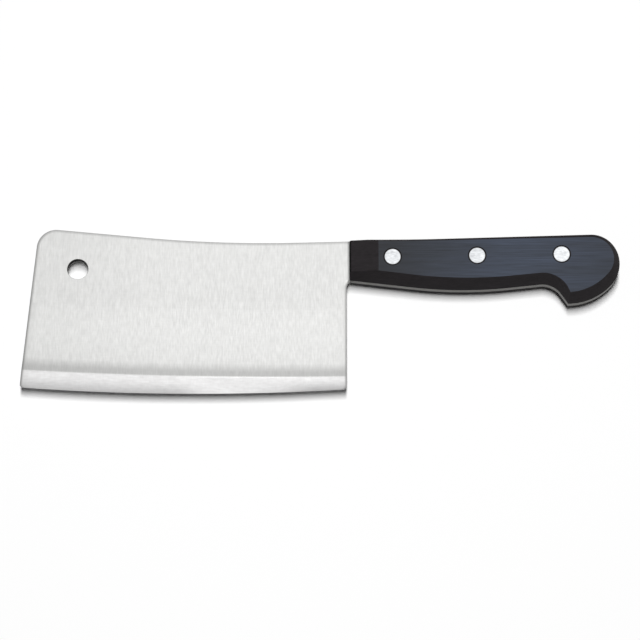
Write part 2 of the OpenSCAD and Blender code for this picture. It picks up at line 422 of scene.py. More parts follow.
@dataclass(frozen=True)
class Fade:
    """A slow change of brightness along one axis of the frame, between two places in millimetres."""

    axis: Axis
    start: float
    end: float
    first: float
    last: float

    def apply(self, tree: NodeTree, colour: NodeSocket) -> NodeSocket:
        """Adds the fade to a colour.

        Args:
            tree: The material's node tree.
            colour: The colour to fade.

        Returns:
            The faded colour.
        """
        spot = add_node(tree, "SeparateXYZ", Vector=add_node(tree, "TexCoord").outputs["Object"])
        level = add_node(tree, "MapRange", Value=spot.outputs[self.axis.value], From_Min=self.start * MM,
                         From_Max=self.end * MM, To_Min=self.first, To_Max=self.last)
        faded = add_node(tree, "VectorMath", {"operation": "SCALE"}, n0=colour, Scale=level.outputs[0])
        return faded.outputs[0]


class LinedFinish(Finish):
    """A surface with fine lines left by the tool, over broader and fainter cloudy streaks."""

    colour: str = "808080"
    dark: str = "707070"
    metallic: float = 1.0
    ior: float = 1.5
    specular: float = 0.5
    roughness: float = 0.5
    uneven: float = 0.06
    spread: float = 0.0
    cloud: float = 0.5
    line_width: float = 0.5
    line_length: float = 20.0
    along: Axis = Axis.X
    crossed: float = 0.0
    relief: float = 0.12
    seed: float = 3.0
    fades: tuple[Fade, ...] = ()
    # How many lines wide and long a cloudy streak is, and how far its pattern is shifted
    CLOUD_WIDTH = 4
    CLOUD_LENGTH = 3
    CLOUD_SEED = 8
    # Noise at these levels takes the dark and the full colour
    LOW_NOISE = 0.3
    HIGH_NOISE = 0.7
    # Depth of a line in millimetres
    DEPTH = 0.02

    def shader(self, tree: NodeTree) -> Node:
        """Builds the shader in a tree.

        Args:
            tree: The material's node tree.

        Returns:
            The shader, which is its last node.
        """
        fine = streaks(tree, self.line_width, self.line_length, self.along, self.seed)
        broad = streaks(tree, self.CLOUD_WIDTH * self.line_width, self.CLOUD_LENGTH * self.line_length,
                        self.along, self.seed + self.CLOUD_SEED)
        add = {"operation": "MULTIPLY_ADD"}
        both = add_node(tree, "Math", add, n0=broad.outputs[0], n1=self.cloud, n2=fine.outputs[0])
        if self.crossed:
            over = Axis.X if self.along is Axis.Y else Axis.Y
            other = streaks(tree, self.line_width, self.line_length, over, self.seed)
            both = add_node(tree, "Math", add, n0=other.outputs[0], n1=self.crossed, n2=both.outputs[0])
        layers = 1 + self.cloud + self.crossed
        shade = add_node(tree, "MapRange", Value=both.outputs[0], From_Min=self.LOW_NOISE * layers,
                         From_Max=self.HIGH_NOISE * layers)
        tint = add_node(tree, "Mix", {"data_type": "RGBA"}, Factor=shade.outputs[0])
        tint.inputs["A"].default_value = linear(self.dark)
        tint.inputs["B"].default_value = linear(self.colour)
        colour = tint.outputs["Result"]
        for fade in self.fades:
            colour = fade.apply(tree, colour)
        gloss = add_node(tree, "MapRange", Value=fine.outputs[0], To_Min=self.roughness + self.uneven,
                         To_Max=self.roughness - self.uneven)
        relief = add_node(tree, "Bump", Height=fine.outputs[0], Strength=self.relief,
                          Distance=self.DEPTH * MM)
        grain = add_node(tree, "Tangent", {"direction_type": "UV_MAP", "uv_map": "grain"})
        made = add_node(tree, "BsdfPrincipled", Base_Color=colour, Metallic=self.metallic,
                        Roughness=gloss.outputs[0], Anisotropic=self.spread, Tangent=grain.outputs[0],
                        Normal=relief.outputs[0])
        if self.metallic < 1:
            made.inputs["IOR"].default_value = self.ior
            made.inputs["Specular IOR Level"].default_value = self.specular
        return made


class SatinSteel(LinedFinish):
    """Stainless knife steel, ground flat on a belt that ran from spine to edge.

    The lines run up and down the blade, so a light is drawn out sideways into a broad soft sheen,
    while up and down it stays sharp enough to show the ridge and the hollow above it.
    """

    name = "satin_ground_stainless"
    colour = "b2b2b1"
    dark = "a7a7a6"
    roughness = 0.57
    uneven = 0.03
    spread = 0.4
    cloud = 0.35
    # Belt lines are about 0.1 mm apart; they are drawn at 0.6 mm, which is what shows
    line_width = 0.6
    line_length = 4.0
    along = Axis.Y
    crossed = 0.5
    # Painted light: the colour is lifted towards the spine and lowered towards the front end, where the
    # lamp falls off, and painted shade darkens it just in front of the scales
    fades = (Fade(Axis.Y, -19.0, 29.0, 0.95, 1.08), Fade(Axis.X, -121.0, -74.0, 0.95, 1.0),
             Fade(Axis.X, 12.1, 13.5, 1.0, 0.12))


class EdgeSteel(LinedFinish):
    """The same steel on the bevel and the cutting edge, ground on a slow wet stone and honed by hand.

    The stone leaves it more matt than the belt does, so the bevel is no brighter than the sides and
    the light falls off softly towards the edge.
    """

    name = "stone_ground_stainless"
    colour = "b8b8b8"
    dark = "aeadad"
    roughness = 0.615
    uneven = 0.03
    # Stone marks are finer than the belt's lines; they are drawn at 0.7 mm, which is what shows
    line_width = 0.7
    line_length = 3.5
    crossed = 1.0
    seed = 7.0
    # Painted highlight: the colour is lifted from the middle of the bevel back and eased off towards the
    # heel, where the bevel shows brighter
    fades = (Fade(Axis.X, -68.0, -53.0, 1.0, 1.12), Fade(Axis.X, -18.0, 10.0, 1.0, 0.9))


class DressedSteel(LinedFinish):
    """Stainless steel on the spine and the ends of the blade, dressed on a belt and broken by hand.

    The lines run round the rim. It is a little duller than the sides and shows as a thin grey line.
    """

    name = "dressed_stainless_rim"
    colour = "b9b9b8"
    dark = "9d9d9b"
    roughness = 0.45
    uneven = 0.08
    line_width = 0.4
    line_length = 9.0
    seed = 5.0


class TangSteel(LinedFinish):
    """Stainless steel on the rim of the tang, in a darker grey that is painted shade.

    The rim faces the shaded floor, and the darker colour makes it show as a dull line between the scales.
    """

    name = "tang_rim_painted_shade"
    colour = "7c7b79"
    dark = "666563"
    roughness = 0.6
    line_width = 0.4
    line_length = 7.0
    seed = 6.0


class ShadedHoleWall(LinedFinish):
    """Painted shade on the wall of the hanging hole: a nearly black colour for the shade inside it.

    It is nearly black and dull next to the bright side.
    """

    name = "hole_wall_painted_shade"
    colour = "2c2b2a"
    dark = "262524"
    metallic = 0.0
    specular = 0.1
    roughness = 0.7
    line_width = 0.4
    line_length = 3.0
    seed = 8.0


class Acetal(LinedFinish):
    """Black acetal, a hard dense plastic, whatever was done to its surface."""

    metallic = 0.0
    ior = 1.48


class SandedAcetal(Acetal):
    """Black acetal, sanded lengthwise on the flat sides of the scales.

    Sanding dulls it, with faint lines along the handle; the dark blue grey of the sides is a painted
    reflection of bluish light.
    """

    name = "sanded_black_acetal"
    # The blue in these colours is painted reflection
    colour = "343e51"
    dark = "1e2530"
    specular = 0.42
    roughness = 0.65
    uneven = 0.06
    # Grit lines are about 0.15 mm apart; they are drawn at 0.5 mm, which is what shows
    line_width = 0.5
    line_length = 16.0
    cloud = 0.9
    seed = 2.0
    # Painted sheen: the flat sides are brightest a little behind the middle of the grip, much darker
    # towards the ramp and darker towards the butt
    fades = (Fade(Axis.X, 33.0, 83.0, 0.25, 1.1), Fade(Axis.X, 96.0, 132.0, 1.0, 0.65))


class BuffedAcetal(Acetal):
    """Black acetal, rounded on a belt and buffed, on the bevels and the ramp of the scales.

    Buffing makes it denser, with a soft uneven gloss; it is blacker than the sanded sides, whose colour
    holds a painted reflection.
    """

    name = "buffed_black_acetal"
    colour = "2f2c2e"
    dark = "242223"
    specular = 0.03
    roughness = 0.3
    uneven = 0.03
    # The buff leaves waves about 3 mm long and 0.6 mm apart
    line_width = 0.6
    line_length = 3.0
    relief = 0.03
    seed = 9.0


class SawnShadedAcetal(Acetal):
    """Black acetal on the walls of the scales and in the holes, left as the cutter made it.

    The cut is rough and dull, and its colour, darker than the buffed acetal's, is painted shade on walls
    that face the shaded floor and along the joint with the blade.
    """

    name = "cut_acetal_and_shade"
    colour = "171616"
    dark = "0f0f0f"
    specular = 0.1
    roughness = 0.8
    line_width = 0.5
    line_length = 4.0
    seed = 12.0


class SandedAluminium(LinedFinish):
    """Soft aluminium rivet heads, sanded flush with the scales along the handle.

    They come out pale and white, with fine lines and a little grey smeared into them.
    """

    name = "sanded_aluminium"
    colour = "e7e9eb"
    dark = "bfc1c3"
    roughness = 0.69
    uneven = 0.08
    cloud = 1.0
    line_width = 0.5
    line_length = 1.6
    seed = 4.0
    # The front and middle heads are a little darker than the rear one
    fades = (Fade(Axis.X, 72.0, 111.0, 0.95, 1.04),)


class PaperSweep(Finish):
    """White background paper, matt and even."""

    name = "white_paper"
    colour = "fafafa"

    def shader(self, tree: NodeTree) -> Node:
        """Builds the shader in a tree and returns its last node."""
        return add_node(tree, "BsdfDiffuse", Color=linear(self.colour))


def add_object(name: str, data: ID) -> Object:
    """Puts an object in the scene, at the origin.

    Args:
        name: Name of the object.
        data: Its mesh, light or camera.

    Returns:
        The object.
    """
    made = bpy.data.objects.new(name, data)
    bpy.context.scene.collection.objects.link(made)
    return made


@dataclass
class Piece:
    """A finished piece of the cleaver, which stands for a CAD node."""

    name: str
    node: str
    slot: Slot
    finishes: tuple[Finish, ...]
    sharp: float = 25.0
    # Millimetres to one unit of the grain map, which only gives the sheen its direction
    GRAIN_SPAN = 100
    # A face whose normal's share along Z is under this, as on the ground sides, is shaded smooth
    DEAD_LEVEL = 0.99999

    def lay(self, mesh: BMesh, origin: Vector) -> Object:
        """Turns a closed bmesh into an object in the CAD frame, which rides on the cleaver's one body.

        Args:
            mesh: The piece in millimetres, from the plan's origin. It is freed.
            origin: Place of the plan's origin in the frame, in metres.

        Returns:
            The object.
        """
        grain = mesh.loops.layers.uv.new("grain")
        for face in mesh.faces:
            face.smooth = len(face.verts) <= 4 and abs(face.normal.z) < self.DEAD_LEVEL
            for corner in face.loops:
                corner[grain].uv = corner.vert.co.xy / self.GRAIN_SPAN
        for edge in mesh.edges:
            edge.smooth = edge.smooth and edge.calc_face_angle(0.0) < math.radians(self.sharp)
        bmesh.ops.scale(mesh, vec=(MM, MM, MM), verts=mesh.verts)
        bmesh.ops.translate(mesh, vec=origin, verts=mesh.verts)
        data = bpy.data.meshes.new(self.name)
        mesh.to_mesh(data)
        mesh.free()
        for finish in self.finishes:
            data.materials.append(finish.material())
        made = add_object(self.name, data)
        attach(made, "root")
        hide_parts(self.node)
        return made


@dataclass
class HandleOutline:
    """Outline that the tang and the scales share."""

    length: float = 124.8
    top_step: float = 1.2
    top_bend_at: float = 30.0
    top_rise: float = 1.7
    top_bend_r: float = 800.0
    butt_r: float = 13.1
    butt_sweep_r: float = 28.0
    hook_from_end: float = 23.9
    hook_depth: float = 30.2
    hook_lean: float = 56.0
    tip_run: float = 4.2
    neck_r: float = 10.4
    belly_at: float = 51.5
    belly_depth: float = 24.9
    belly_r: float = 205.0
    belly_front_slope: float = 6.6
    belly_rear_slope: float = 6.2
    belly: Vector = field(init=False)
    top_front: Vector = field(init=False)
    low_front: Vector = field(init=False)

    def __post_init__(self) -> None:
        """Works out the corners at the front."""
        self.belly = Vector((self.belly_at, -self.belly_depth))
        self.top_front = Vector((0, -self.top_step))
        front_way = towards(180 - self.belly_front_slope)
        self.low_front = meet(self.belly, front_way, self.top_front, Vector((0, 1)))

    def draw(self, pen: Pen) -> None:
        """Draws clockwise from the pen's place, by the top of the front edge, to the low end of that edge.

        Args:
            pen: A pen in front of the top line or at its start.
        """
        butt_x = self.length - self.butt_r
        top_at_butt = (butt_x - self.top_bend_at) * tangent(self.top_rise) - self.top_step
        drop = self.butt_r / math.cos(math.radians(self.top_rise))
        butt = Vector((butt_x, top_at_butt - drop))
        butt_top = butt + towards(90 + self.top_rise) * self.butt_r
        tip = Vector((self.length - self.hook_from_end, -self.hook_depth))
        reach = butt - tip
        inset = self.butt_sweep_r - self.butt_r
        swing = math.acos((self.butt_sweep_r ** 2 + reach.length_squared - inset ** 2)
                          / (2 * self.butt_sweep_r * reach.length))
        sweep = tip + towards(math.degrees(math.atan2(reach.y, reach.x) + swing)) * self.butt_sweep_r
        neck = meet(self.belly, towards(self.belly_rear_slope), tip, towards(180 - self.hook_lean))
        pen.line(self.top_front)
        pen.corner(Vector((self.top_bend_at, -self.top_step)), butt_top, self.top_bend_r)
        pen.line(butt_top)
        pen.arc(butt, butt + (butt - sweep).normalized() * self.butt_r)
        # A straight run up to the tip leaves the bevel room to turn round it
        turn = 2 * math.asin(self.tip_run / (2 * self.butt_sweep_r))
        pen.arc(sweep, sweep + Matrix.Rotation(turn, 2) @ (tip - sweep))
        pen.line(tip)
        pen.corner(neck, self.belly, self.neck_r)
        pen.corner(self.belly, self.low_front, self.belly_r)
        pen.line(self.low_front)


@dataclass
class RivetRow:
    """Places of the three rivets along the handle."""

    front: Vector = field(default_factory=lambda: Vector((19.8, -9.6)))
    rear: Vector = field(default_factory=lambda: Vector((97.8, -8.4)))
    head_d: float = 7.4
    head_t: float = 2.0
    barrel_d: float = 5.0
    post_d: float = 3.2
    head_gap: float = 0.1
    barrel_gap: float = 0.1
    post_gap: float = 0.02
    end_gap: float = 0.4
    rim: float = 0.18
    rim_steps: int = 3
    finish: Finish = SandedAluminium()
    # The rim turns by more than this many degrees, and the facets round the head by less
    RIM_TURN = 45

    def places(self) -> dict[str, Vector]:
        """Place in plan of each rivet by its name."""
        return {"front": self.front, "middle": (self.front + self.rear) / 2, "rear": self.rear}

    def turned(self, place: Vector, profile: Sequence[tuple[float, float]], rim_at: float) -> BMesh:
        """Turns a part of a rivet about its axis and breaks the rim of its head.

        Args:
            place: Place of the axis in plan.
            profile: Radius and height of each corner of the half section.
            rim_at: Height of the head's outer face.

        Returns:
            The closed solid.
        """
        mesh = bmesh.new()
        corners = [mesh.verts.new((place.x + r, place.y, z)) for r, z in profile]
        chain = [mesh.edges.new(pair) for pair in zip(corners, corners[1:])]
        if profile[0][0] > 0:
            chain.append(mesh.edges.new((corners[-1], corners[0])))
        bmesh.ops.spin(mesh, geom=corners + chain, cent=place.to_3d(), axis=UP, angle=math.tau,
                       steps=ROUND, use_merge=True)
        bmesh.ops.remove_doubles(mesh, verts=mesh.verts, dist=SAME)
        bmesh.ops.recalc_face_normals(mesh, faces=mesh.faces)
        rim = [edge for edge in mesh.edges
               if all(abs(vert.co.z - rim_at) < NEAR for vert in edge.verts)
               and edge.calc_face_angle(0.0) > math.radians(self.RIM_TURN)]
        bmesh.ops.bevel(mesh, geom=rim, offset=self.rim, segments=self.rim_steps, profile=0.5,
                        affect="EDGES", material=-1)
        return mesh

    def build(self, half: float, origin: Vector) -> list[Object]:
        """Makes the post and the barrel of each rivet.

        Args:
            half: Half the thickness of the handle.
            origin: Place of the plan's origin in the frame, in metres.

        Returns:
            The six pieces.
        """
        head, post, barrel = self.head_d / 2, self.post_d / 2, self.barrel_d / 2
        seat = half - self.head_t
        bore = post + self.post_gap
        tip = seat - self.end_gap
        post_section = [(0, half), (head, half), (head, seat), (post, seat), (post, -tip), (0, -tip)]
        barrel_section = [(0, -half), (head, -half), (head, -seat), (barrel, -seat), (barrel, tip),
                          (bore, tip), (bore, -seat), (0, -seat)]
        parts = {"post": (post_section, half), "barrel": (barrel_section, -half)}
        made = []
        for name, place in self.places().items():
            for part, (section, face) in parts.items():
                piece = Piece(f"rivet_{part}_{name}", f"{name}_rivet_{part}", Slot.RIVET, (self.finish,))
                made.append(piece.lay(self.turned(place, section, face), origin))
        return made


@dataclass
class Scale:
    """One of the two handle scales, on the left or the right of the tang."""

    outline: HandleOutline
    rivets: RivetRow
    steel_half: float
    thickness: float = 7.5
    ramp_length: float = 13.3
    ramp_drop: float = 2.2
    bevel_low: float = 4.2
    bevel_hook: float = 3.3
    bevel_flank: float = 2.3
    bevel_butt: float = 4.4
    bevel_top: float = 0.5
    bevel_top_butt: float = 1.4
    bevel_wall: float = 0.4
    bevel_top_fall: float = 0.8
    bevel: RollOver = field(default_factory=lambda: RollOver(start=38.0, turn=46.0, steps=2))
    arris: float = 0.1
    arris_turn: float = 10.0
    front_break: float = 0.6
    seat_break: float = 0.5
    sanded: Finish = SandedAcetal()
    buffed: Finish = BuffedAcetal()
    sawn_and_shade: Finish = SawnShadedAcetal()
    # Walls lean less than this towards the flat side, as a share along Z
    WALL_LEAN = 0.2

    def bevel_size(self, spot: Vector, out: Vector) -> tuple[float, float]:
        """Size of the bevel, which blends from the lower side to the top as the outline turns.

        Args:
            spot: Place on the outline.
            out: Way out of the outline there.

        Returns:
            The width in plan and the height that the bevel comes down.
        """
        end = self.outline.length
        hook = end - self.outline.hook_from_end
        if spot.x < hook:
            low = between(self.bevel_low, self.bevel_hook, spot.x / hook)
        else:
            low = between(self.bevel_hook, self.bevel_butt, (spot.x - hook) / (end - hook))
        top = between(self.bevel_top, self.bevel_top_butt, spot.x / end)
        low_fall = self.thickness - self.bevel_wall
        share = (1 - out.normalized().y) / 2
        return between(top, low, share), between(self.bevel_top_fall, low_fall, share)

    def blank(self) -> BMesh:
        """Cuts the outline, rounds it and cuts the ramp.

        Returns:
            The blank of the scale, with the tang's face as its floor.
        """
        mesh = bench()
        pen = Pen(mesh, self.outline.top_front)
        self.outline.draw(pen)
        path = pen.path
        loop = pen.edges() + [mesh.edges.new((path[-1], path[0]))]
        plan = [point.co.xy for point in path]
        mitres = mitres_along(plan, self.bevel_flank / self.bevel_hook)
        # The corners at the front slide along the front edge, so that it has no bevel
        mitres[0], mitres[-1] = (Vector((0, 1 / way.y)) for way in (mitres[0], mitres[-1]))
        widths, falls = zip(*(self.bevel_size(spot, way) for spot, way in zip(plan, mitres)))
        bmesh.ops.contextual_create(mesh, geom=loop)
        wall, loop = pull(mesh, loop)
        order = {tuple(point.co): number for number, point in enumerate(path)}
        wall.sort(key=lambda vert: order[tuple(vert.co)])
        ridge = self.bevel.roll(mesh, wall, loop, mitres, widths, falls, self.thickness)
        bmesh.ops.contextual_create(mesh, geom=ridge)
        ramp = Vector((-self.ramp_drop, 0, self.ramp_length))
        slice_off(mesh, Vector((self.ramp_length, 0, self.thickness)), ramp)
        front_top = self.thickness - self.ramp_drop
        slice_off(mesh, Vector((0, 0, front_top - self.front_break)), Vector((-1, 0, 1)))
        bmesh.ops.recalc_face_normals(mesh, faces=mesh.faces)
        return mesh

    def drill(self, mesh: BMesh) -> None:
        """Opens the flat side and the tang side round the rivets, and joins them by stepped holes.

        Args:
            mesh: The rounded blank.
        """
        head = self.rivets.head_d / 2 + self.rivets.head_gap
        barrel = self.rivets.barrel_d / 2 + self.rivets.barrel_gap
        floor = self.thickness - self.rivets.head_t
        for height, radius in ((self.thickness, head + self.seat_break), (0.0, barrel)):
            side = [face for face in mesh.faces if abs(face.normal.z) > LEVEL
                    and abs(face.calc_center_median().z - height) < NEAR]
            edges = list({edge for face in side for edge in face.edges})
            bmesh.ops.delete(mesh, geom=side, context="FACES_ONLY")
            rings = {name: ring_of_edges(mesh, place, radius, height)
                     for name, place in self.rivets.places().items()}
            for ring in rings.values():
                edges.extend(ring)
            bmesh.ops.triangle_fill(mesh, use_beauty=True, edges=edges, normal=UP if height else -UP)
            if height:
                for name, place in self.rivets.places().items():
                    sink(mesh, rings[name], place, [(head, height - self.seat_break), (head, floor),
                                                    (barrel, floor), (barrel, 0.0)])
        bmesh.ops.remove_doubles(mesh, verts=mesh.verts, dist=NEAR)
        bmesh.ops.recalc_face_normals(mesh, faces=mesh.faces)

    def soften(self, mesh: BMesh) -> None:
        """Breaks the crisp lines round the flat side and the ramp a little.

        Args:
            mesh: The rounded blank.
        """
        lines = [edge for edge in mesh.edges if edge.calc_face_angle(0.0) > math.radians(self.arris_turn)
                 and any(len(face.verts) > 4 for face in edge.link_faces)
                 and all(vert.co.z > NEAR for vert in edge.verts)]
        bmesh.ops.bevel(mesh, geom=lines, offset=self.arris, segments=1, profile=0.5, affect="EDGES",
                        material=-1, clamp_overlap=True)

    def build(self, side: Side, origin: Vector) -> Object:
        """Makes the scale.

        Args:
            side: Side of the tang.
            origin: Place of the plan's origin in the frame, in metres.

        Returns:
            The piece.
        """
        mesh = self.blank()
        self.soften(mesh)
        self.drill(mesh)
        finishes = (self.sanded, self.buffed, self.sawn_and_shade)
        for face in mesh.faces:
            # Walls and the front chamfer take the sawn colour, which paints shade along the joint with the
            # blade
            finish = self.sawn_and_shade
            if face.normal.z > LEVEL:
                finish = self.sanded
            elif face.normal.z > self.WALL_LEAN and face.calc_center_median().x >= self.front_break:
                finish = self.buffed
            face.material_index = finishes.index(finish)
        bmesh.ops.translate(mesh, vec=UP * self.steel_half, verts=mesh.verts)
        if side is Side.RIGHT:
            bmesh.ops.scale(mesh, vec=(1, 1, -1), verts=mesh.verts)
            bmesh.ops.reverse_faces(mesh, faces=mesh.faces)
        name = side.value
        piece = Piece(f"scale_{name}", f"{name}_scale", Slot.HANDLE, finishes, sharp=14.0)
        return piece.lay(mesh, origin)


@dataclass
class Steel:
    """Blade and tang, cut from one sheet and ground to the edge."""

    outline: HandleOutline
    rivets: RivetRow
    # Sheet and outline
    thickness: float = 3.5
    blade_length: float = 151.5
    blade_depth: float = 72.6
    spine_rise: float = 5.4
    spine_dip: float = 1.4
    spine_bend_at: float = 60.0
    spine_bend_r: float = 590.0
    front_corner_r: float = 9.0
    toe_r: float = 1.2
    heel_step: float = 1.4
    heel_drop: float = 1.6
    heel_fillet_r: float = 4.0
    heel_r: float = 0.8
    # Bowed edge, and the bevel from its ridge down to the honed part
    edge_r: float = 1100.0
    edge_low_at: float = 70.0
    bevel_height: float = 7.7
    ridge_r: float = 2000.0
    ridge_tilt: float = 1.05
    bevel_angle: float = 5.0
    hone_share: float = 0.85
    hone_fall: float = 0.135
    edge_land: float = 0.14
    # Middle of the stretch where the bevel is ground flat, and how far that fades out both ways
    flat_at: float = -60.0
    flat_front: float = 24.0
    flat_rear: float = 70.0
    # Hollow above the ridge, which runs out into the flat side
    hollow_width: float = 6.5
    hollow_flank: float = 2.5
    hollow_depth: float = 0.37
    hollow_run_out: float = 36.0
    run_out_slope: float = 0.6
    # Hanging hole
    hole_d: float = 9.7
    hole_from_front: float = 20.2
    hole_from_spine: float = 18.1
    # Broken edges
    rim: float = 1.3
    end_fall: float = 0.3
    spine_fall: float = 0.08
    hole_break: float = 0.12
    rivet_hole_break: float = 0.05
    break_over: RollOver = field(default_factory=lambda: RollOver(start=40.0, turn=84.0, steps=4))
    # Fineness of the ground part
    stations: int = 48
    hone_rows: int = 10
    hollow_rows: int = 12
    run_out_rows: int = 8
    satin: Finish = SatinSteel()
    stoned: Finish = EdgeSteel()
    dressed: Finish = DressedSteel()
    tang_shade: Finish = TangSteel()
    hole_shade: Finish = ShadedHoleWall()
    half: float = field(init=False)
    toe: Vector = field(init=False)
    spine_bend: Vector = field(init=False)
    spine_front: Vector = field(init=False)
    hole: Vector = field(init=False)
    ridge_centre: Vector = field(init=False)
    # Share of a hole's broken edge that is left, both ways, at the middle of its rounding
    BREAK_MIDDLE = 0.3
    # The rim of the blade lies less level than this, as a share along Z
    RIM_LEAN = 0.88

    def __post_init__(self) -> None:
        """Works out the toe, the spine's corners, the hole's place and the middle of the ridge's curve."""
        self.half = self.thickness / 2
        self.toe = Vector((-self.blade_length, self.edge_y(-self.blade_length)))
        self.spine_bend = Vector((-self.spine_bend_at, -self.spine_bend_at * tangent(self.spine_dip)))
        up = towards(90 - self.spine_rise)
        self.spine_front = self.toe + up * (self.spine_bend - self.toe).dot(up)
        along = towards(-self.spine_rise)
        self.hole = self.spine_front + along * self.hole_from_front - up * self.hole_from_spine
        ridge_low = Vector((-self.edge_low_at, self.bevel_height - self.blade_depth))
        self.ridge_centre = ridge_low + towards(90 - self.ridge_tilt) * self.ridge_r

    def edge_y(self, x: float) -> float:
        """Place in Y of the cutting edge."""
        return self.edge_r - self.blade_depth - math.sqrt(self.edge_r ** 2 - (x + self.edge_low_at) ** 2)

    def ridge_y(self, x: float) -> float:
        """Place in Y of the ridge along the top of the bevel."""
        return self.ridge_centre.y - math.sqrt(self.ridge_r ** 2 - (x - self.ridge_centre.x) ** 2)

    def hone_rise(self, x: float) -> float:
        """Height above the edge at which the honed edge has rolled into the bevel."""
        return self.hone_share * (self.ridge_y(x) - self.edge_y(x))

    def flatness(self, x: float) -> float:
        """How far the bevel is ground flat down to the edge.

        Args:
            x: Place along the blade.

        Returns:
            A share, from 0 where the hone rolls over the edge to 1 where the bevel is flat.
        """
        off = x - self.flat_at
        reach = self.flat_rear if off > 0 else self.flat_front
        return max(1 - (off / reach) ** 2, 0) ** 2

    def rows(self) -> list[tuple[float, float]]:
        """Rows of the ground sides.

        Returns:
            The rows from the edge up, each as a share of the bevel's height and a height above its ridge.
        """
        honed = [(self.hone_share * k / self.hone_rows, 0.0) for k in range(self.hone_rows + 1)]
        bevel = [(between(self.hone_share, 1.0, share), 0.0) for share in (0.5, 1.0)]
        hollow = [(1.0, self.hollow_width * k / self.hollow_rows) for k in range(1, self.hollow_rows + 1)]
        left = self.hollow_run_out - self.hollow_width
        run_out = [(1.0, self.hollow_width + left * k / self.run_out_rows)
                   for k in range(1, self.run_out_rows + 1)]
        return honed + bevel + hollow + run_out

    def row_y(self, x: float, row: tuple[float, float]) -> float:
        """Place in Y of a row at a place along the blade."""
        share, height = row
        return between(self.edge_y(x), self.ridge_y(x), share) + height

    def side_z(self, x: float, y: float) -> float:
        """Height of the ground side over the middle plane.

        Args:
            x: Place along the blade.
            y: Place in Y, from the edge up.

        Returns:
            Half the thickness that the grinding leaves there.
        """
        above = y - self.ridge_y(x)
        if above >= self.hollow_width:
            # A cubic that leaves the hollow at the set slope and meets the flat side at none
            fade = (above - self.hollow_width) / (self.hollow_run_out - self.hollow_width)
            slope = self.run_out_slope
            filled = fade * (slope + fade * (3 - 2 * slope + fade * (slope - 2)))
            return self.half - self.hollow_depth * (1 - filled)
        if above >= 0:
            slope = 2 * self.hollow_depth / (self.hollow_width + self.hollow_flank)
            past = max(above - self.hollow_flank, 0)
            eased = past * past / (2 * (self.hollow_width - self.hollow_flank))
            return self.half - slope * (above - eased)
        drop = self.ridge_y(x) - self.edge_y(x)
        edge = self.half - self.edge_land / 2
        slope = between(tangent(self.bevel_angle), edge / drop, self.flatness(x))
        bevel = self.half + above * slope
        short = self.hone_rise(x) - (y - self.edge_y(x))
        if short <= 0:
            return bevel
        full = min(edge - drop * slope, self.hone_fall * self.hone_rise(x))
        return bevel - full * (short / self.hone_rise(x)) ** 2

    def ends(self, row: tuple[float, float]) -> tuple[float, float]:
        """Places in X where a row meets the front end and the heel, with their rounded corners.

        Args:
            row: The row.

        Returns:
            The front and the rear place.
        """
        front, rear = self.toe.x, -self.heel_step
        # The row curves a little, so the second pass starts from where the first one ended
        for _ in range(2):
            front = self.toe.x + (self.row_y(front, row) - self.toe.y) * tangent(self.spine_rise)
        front += rounding(self.toe_r, self.row_y(front, row) - self.edge_y(front))
        rear -= rounding(self.heel_r, self.row_y(rear, row) - self.edge_y(rear))
        return front, rear

    def grind(self, mesh: BMesh) -> list[list[BMVert]]:
        """Lays the ground part of the left side as a grid with rows along the edge.

        Args:
            mesh: The bmesh to build in.

        Returns:
            The points of the grid, row by row from the edge, each from the front to the heel.
        """
        rows = self.rows()
        shares = self.break_over.shares()
        steps = len(shares) - 1
        columns = self.stations + 2 * steps
        made = bmesh.ops.create_grid(mesh, x_segments=columns, y_segments=len(rows) - 1, size=0.5)["verts"]
        grid: list[list[BMVert]] = [[made[0]] * (columns + 1) for _ in rows]
        for vert in made:
            column = round((vert.co.x + 0.5) * columns)
            number = round((vert.co.y + 0.5) * (len(rows) - 1))
            front, rear = self.ends(rows[number])
            near_end = min(column, columns - column)
            inset, rise = shares[min(near_end, steps)]
            if column <= steps:
                x = front + self.rim * inset
            elif column >= columns - steps:
                x = rear - self.rim * inset
            else:
                share = (column - steps) / self.stations
                x = front + self.rim + (rear - front - 2 * self.rim) * share
            y = self.row_y(x, rows[number])
            z = self.side_z(x, y)
            # Where the steel is thin, its ends fall by half of what there is
            vert.co = Vector((x, y, z - min(self.end_fall, z / 2) * (1 - rise)))
            grid[number][column] = vert
        return grid

    def mark_out(self, mesh: BMesh, start: Vector, end: Vector) -> Pen:
        """Draws the rest of the outline, from the ground part's front round to its heel.

        Args:
            mesh: The bmesh to draw in.
            start: Where the ground part's top row meets the front end.
            end: Where that row meets the heel.

        Returns:
            The pen, with its path.
        """
        heel_top = self.outline.low_front - Vector((self.heel_step, self.heel_drop))
        pen = Pen(mesh, start)
        pen.corner(self.spine_front, self.spine_bend, self.front_corner_r)
        pen.corner(self.spine_bend, Vector((0, 0)), self.spine_bend_r)
        pen.line(Vector((0, 0)))
        self.outline.draw(pen)
        pen.corner(heel_top, end, self.heel_fillet_r)
        pen.line(end)
        return pen

    def side(self) -> BMesh:
        """Joins the ground part to the rest of the side, opens the holes and pulls the rim down.

        Returns:
            The left half of the steel, open at the middle plane.
        """
        mesh = bench()
        grid = self.grind(mesh)
        steps = self.break_over.steps
        top = grid[-1]
        start, end = top[0].co.xy, top[-1].co.xy
        pen = self.mark_out(mesh, start, end)
        path, loop = pen.path, pen.edges()
        plan = [point.co.xy for point in path]
        mitres = mitres_along(plan)
        mitres[0] = (start - top[steps].co.xy) / self.rim
        mitres[-1] = (end - top[-1 - steps].co.xy) / self.rim
        # The blade's rim is broken; between the scales the tang's stays sharp
        bare = [spot.x < -NEAR or (spot.x < NEAR and spot.y > -NEAR) for spot in plan]
        widths = [self.rim * shown for shown in bare]
        falls = [between(self.end_fall, self.spine_fall, max(way.y, 0)) * shown
                 for way, shown in zip(mitres, bare)]
